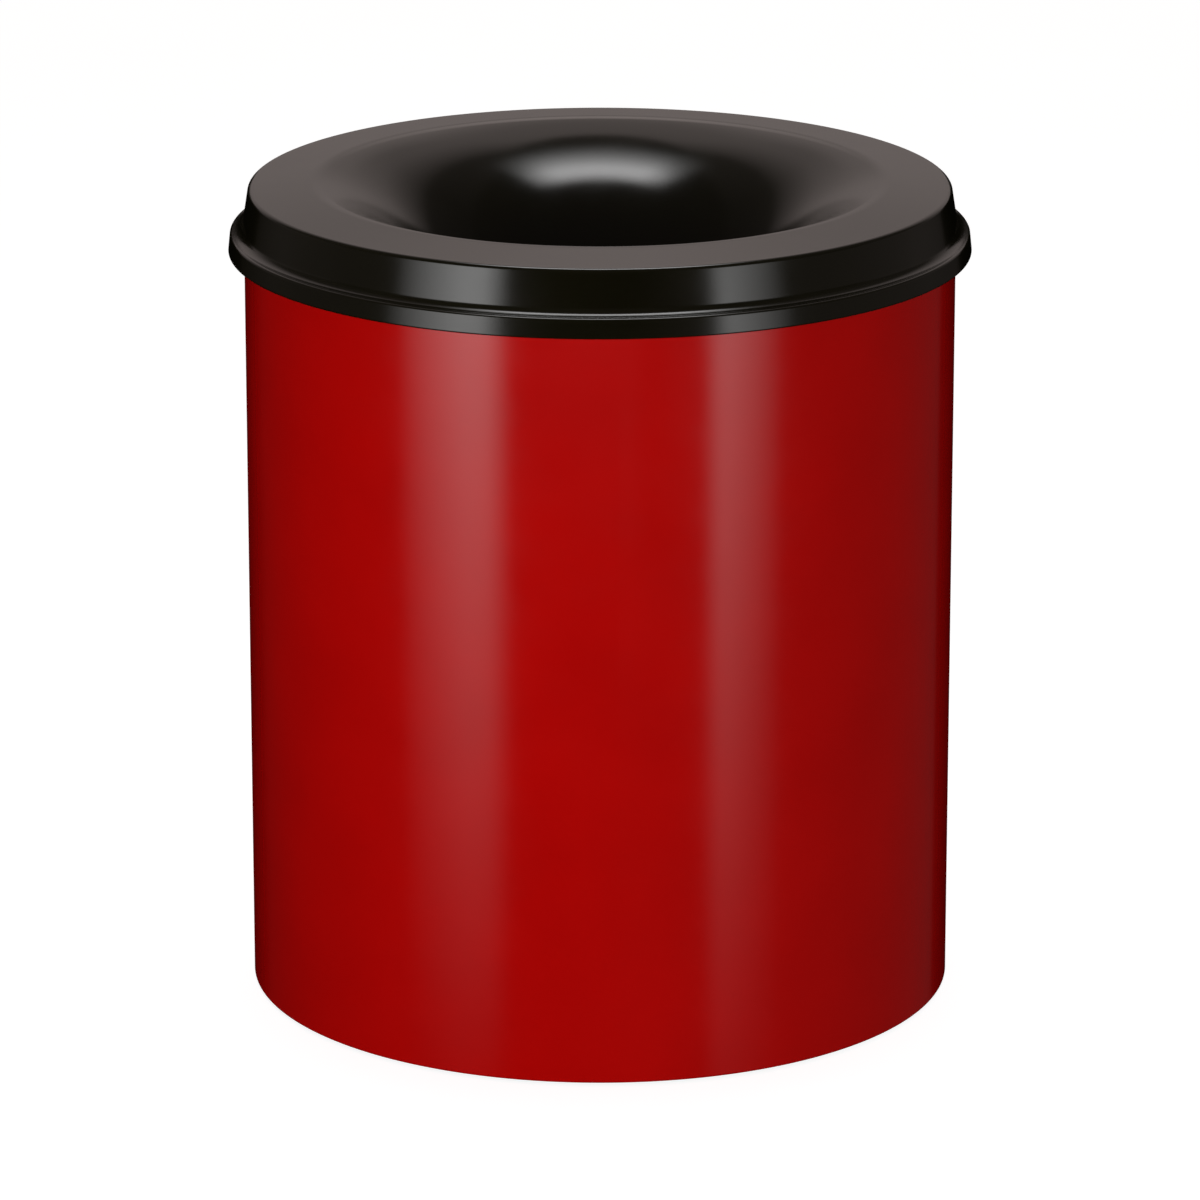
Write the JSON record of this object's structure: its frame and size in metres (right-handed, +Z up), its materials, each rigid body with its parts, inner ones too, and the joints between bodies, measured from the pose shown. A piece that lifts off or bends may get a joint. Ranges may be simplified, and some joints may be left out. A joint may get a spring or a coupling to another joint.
{
  "type": "self-extinguishing waste bin",
  "caption": "Round sheet-steel waste bin with rubber feet and a loose spun extinguishing head whose bell-mouthed throat turns a fire's smoke back into the bin.",
  "frame": {"origin": "on the floor, at the bin's centre line", "axes": "+Z up the bin's centre line; the wall's lapped seam is at the back, towards +Y, and the front faces -Y"},
  "size_m": [0.4858, 0.4858, 0.5437],
  "materials": {
    "red_paint": "semi-gloss powder coat with fine orange peel",
    "black_paint": "satin powder coat",
    "steel": "zinc plated",
    "foot_rubber": "matte moulded rubber"
  },
  "bodies": {
    "bin": {"bin_wall": "red_paint", "rim_wire": "steel", "base_pan": "red_paint", "foot_front_right": "foot_rubber", "foot_back_right": "foot_rubber", "foot_back_left": "foot_rubber", "foot_front_left": "foot_rubber", "foot_washers": "steel", "foot_rivets": "steel"},
    "head": {"extinguisher_head": "black_paint"}
  },
  "joints": [
    {"name": "head_lift", "type": "slide", "parent": "bin", "child": "head", "axis": [0, 0, 1], "range_m": [0, 0.2]}
  ]
}
